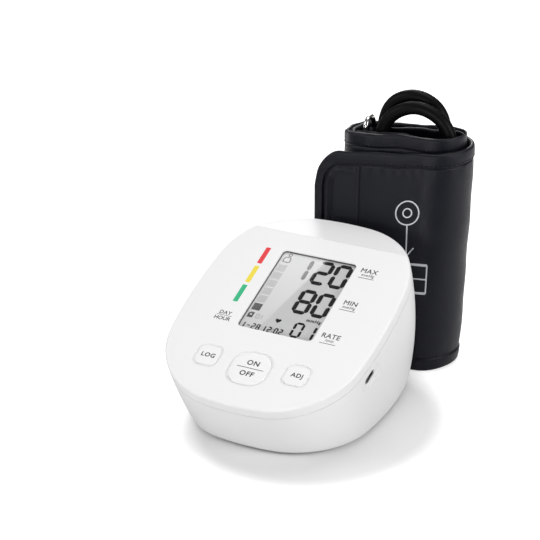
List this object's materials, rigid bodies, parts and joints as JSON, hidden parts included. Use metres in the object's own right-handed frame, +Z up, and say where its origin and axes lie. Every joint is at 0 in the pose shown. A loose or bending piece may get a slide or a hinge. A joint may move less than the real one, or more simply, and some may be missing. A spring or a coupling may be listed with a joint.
{
  "type": "upper arm blood pressure monitor",
  "caption": "Desk blood pressure monitor with a sloped display panel and sprung buttons, beside its rolled upper-arm cuff with a looped air hose.",
  "frame": {"origin": "on the surface that the set stands on, midway between its outermost points in X and Y", "axes": "+Z up, +X to the right of someone reading the display, +Y away from them, from the monitor towards the cuff"},
  "size_m": [0.1178, 0.1864, 0.1576],
  "materials": {
    "white_shell": "fine satin white plastic",
    "white_button": "satin white plastic",
    "clear_window": "clear polished plastic",
    "display_grey": "grey liquid crystal display",
    "black_plastic": "black moulded plastic",
    "silicone_grey": "matt silicone rubber",
    "board_green": "green circuit board",
    "plated_steel": "zinc plated",
    "ring_steel": "polished nickel plated wire",
    "foot_rubber": "matt rubber",
    "cell_jacket": "printed battery jacket",
    "cuff_cloth": "black coated nylon cloth",
    "hook_cloth": "black hook tape",
    "bladder_rubber": "black rubber",
    "hose_rubber": "black satin rubber"
  },
  "bodies": {
    "monitor": {"upper_shell": "white_shell", "lower_housing": "white_shell", "display_lens": "clear_window", "lcd_panel": "display_grey", "lcd_frame": "white_shell", "button_pad": "silicone_grey", "main_board": "board_green", "board_screws": "plated_steel", "usb_socket": "plated_steel", "pressure_sensor": "black_plastic", "buzzer": "black_plastic", "housing_screws": "plated_steel", "rubber_feet": "foot_rubber", "aa_batteries": "cell_jacket", "battery_contacts": "plated_steel", "pump_head": "black_plastic", "pump_motor": "plated_steel", "pump_saddle": "silicone_grey", "air_socket": "black_plastic", "release_valve": "plated_steel", "air_tee": "black_plastic", "air_tubes": "silicone_grey"},
    "main_button": {"main_button": "white_button"},
    "left_button": {"left_button": "white_button"},
    "right_button": {"right_button": "white_button"},
    "battery_door": {"battery_door": "white_shell"},
    "pump_shaft": {"pump_shaft": "plated_steel"},
    "cuff": {"cuff_inner_roll": "cuff_cloth", "cuff_bladder": "bladder_rubber", "cuff_outer_wrap": "cuff_cloth", "hook_patch": "hook_cloth", "ring_loop": "cuff_cloth", "hose_port": "black_plastic", "air_hose": "hose_rubber", "air_plug": "black_plastic"},
    "ring": {"metal_ring": "ring_steel"}
  },
  "joints": [
    {"name": "main_button_press", "type": "slide", "parent": "monitor", "child": "main_button", "axis": [0, 0.4174, -0.9087], "range_m": [0, 0.0006], "stiffness_N_per_m": 1500, "springref_m": -0.0003},
    {"name": "left_button_press", "type": "slide", "parent": "monitor", "child": "left_button", "axis": [0, 0.4174, -0.9087], "range_m": [0, 0.0006], "stiffness_N_per_m": 1500, "springref_m": -0.0003},
    {"name": "right_button_press", "type": "slide", "parent": "monitor", "child": "right_button", "axis": [0, 0.4174, -0.9087], "range_m": [0, 0.0006], "stiffness_N_per_m": 1500, "springref_m": -0.0003},
    {"name": "battery_door_swing", "type": "hinge", "parent": "monitor", "child": "battery_door", "pos_m": [0, -0.04575, 0.002], "axis": [-1, 0, 0], "range_deg": [0, 75]},
    {"name": "pump_shaft_spin", "type": "hinge", "parent": "monitor", "child": "pump_shaft", "pos_m": [0.005, 0.005, 0.038], "axis": [1, 0, 0], "continuous": true},
    {"name": "cuff_lift", "type": "slide", "parent": "monitor", "child": "cuff", "axis": [0, 0, 1], "range_m": [0, 0.16]},
    {"name": "ring_swing", "type": "hinge", "parent": "cuff", "child": "ring", "pos_m": [-0.00172, 0.07438, 0.07], "axis": [0, 0, 1], "range_deg": [-14, 8]}
  ]
}
